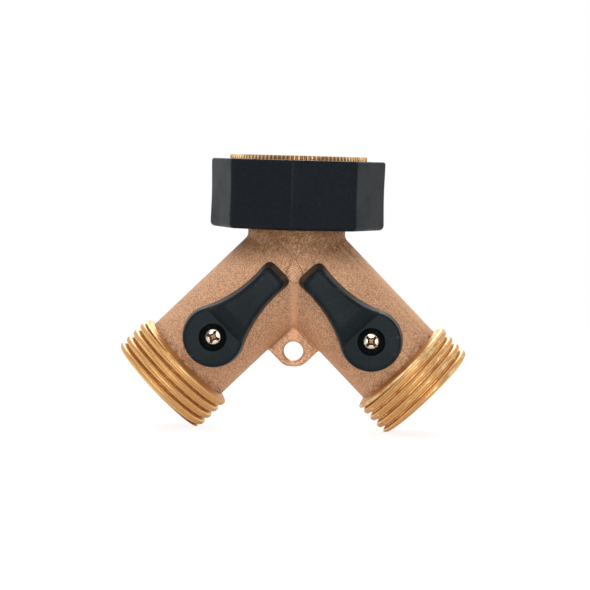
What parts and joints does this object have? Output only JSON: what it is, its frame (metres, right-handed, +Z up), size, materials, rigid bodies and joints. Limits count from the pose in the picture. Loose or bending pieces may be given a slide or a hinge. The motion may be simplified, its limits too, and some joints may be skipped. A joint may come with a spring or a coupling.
{
  "type": "hose splitter",
  "caption": "Y-shaped brass hose splitter with a gripped swivel inlet nut, threaded outlets and a lever ball valve in each arm.",
  "frame": {"origin": "centre of the swivel nut's open mouth, on the inlet axis", "axes": "+Z up out of the nut's mouth, +X to the right outlet, -Y towards the levers"},
  "size_m": [0.0814, 0.0415, 0.0644],
  "materials": {
    "cast_brass": "sand-blasted casting, satin; bright where threads are cut",
    "machined_brass": "turned, bright",
    "plated_ball": "polished plating on brass",
    "screw_brass": "bright plated head",
    "spring_steel": "plain spring steel",
    "grip_rubber": "matte moulded",
    "lever_plastic": "matte moulded, slightly soft sheen",
    "seal_rubber": "matte",
    "seat_plastic": "waxy white"
  },
  "bodies": {
    "root": {"body": "cast_brass", "inlet_washer": "seal_rubber", "nut_retaining_ring": "spring_steel", "left_inner_seat": "seat_plastic", "left_outer_seat": "seat_plastic", "left_seat_retainer": "machined_brass", "right_inner_seat": "seat_plastic", "right_outer_seat": "seat_plastic", "right_seat_retainer": "machined_brass"},
    "nut": {"swivel_nut": "machined_brass", "nut_grip": "grip_rubber"},
    "left_valve": {"left_ball": "plated_ball", "left_stem": "machined_brass", "left_stem_o_rings": "seal_rubber", "left_stem_washer": "seat_plastic", "left_handle": "lever_plastic", "left_handle_screw": "screw_brass"},
    "right_valve": {"right_ball": "plated_ball", "right_stem": "machined_brass", "right_stem_o_rings": "seal_rubber", "right_stem_washer": "seat_plastic", "right_handle": "lever_plastic", "right_handle_screw": "screw_brass"}
  },
  "joints": [
    {"name": "nut_swivel", "type": "hinge", "parent": "root", "child": "nut", "pos_m": [0, 0, -0.0166], "axis": [0, 0, 1], "continuous": true},
    {"name": "left_valve_turn", "type": "hinge", "parent": "root", "child": "left_valve", "pos_m": [-0.01803, 0, -0.04173], "axis": [0, -1, 0], "range_deg": [0, 90]},
    {"name": "right_valve_turn", "type": "hinge", "parent": "root", "child": "right_valve", "pos_m": [0.01803, 0, -0.04173], "axis": [0, 1, 0], "range_deg": [0, 90]}
  ]
}
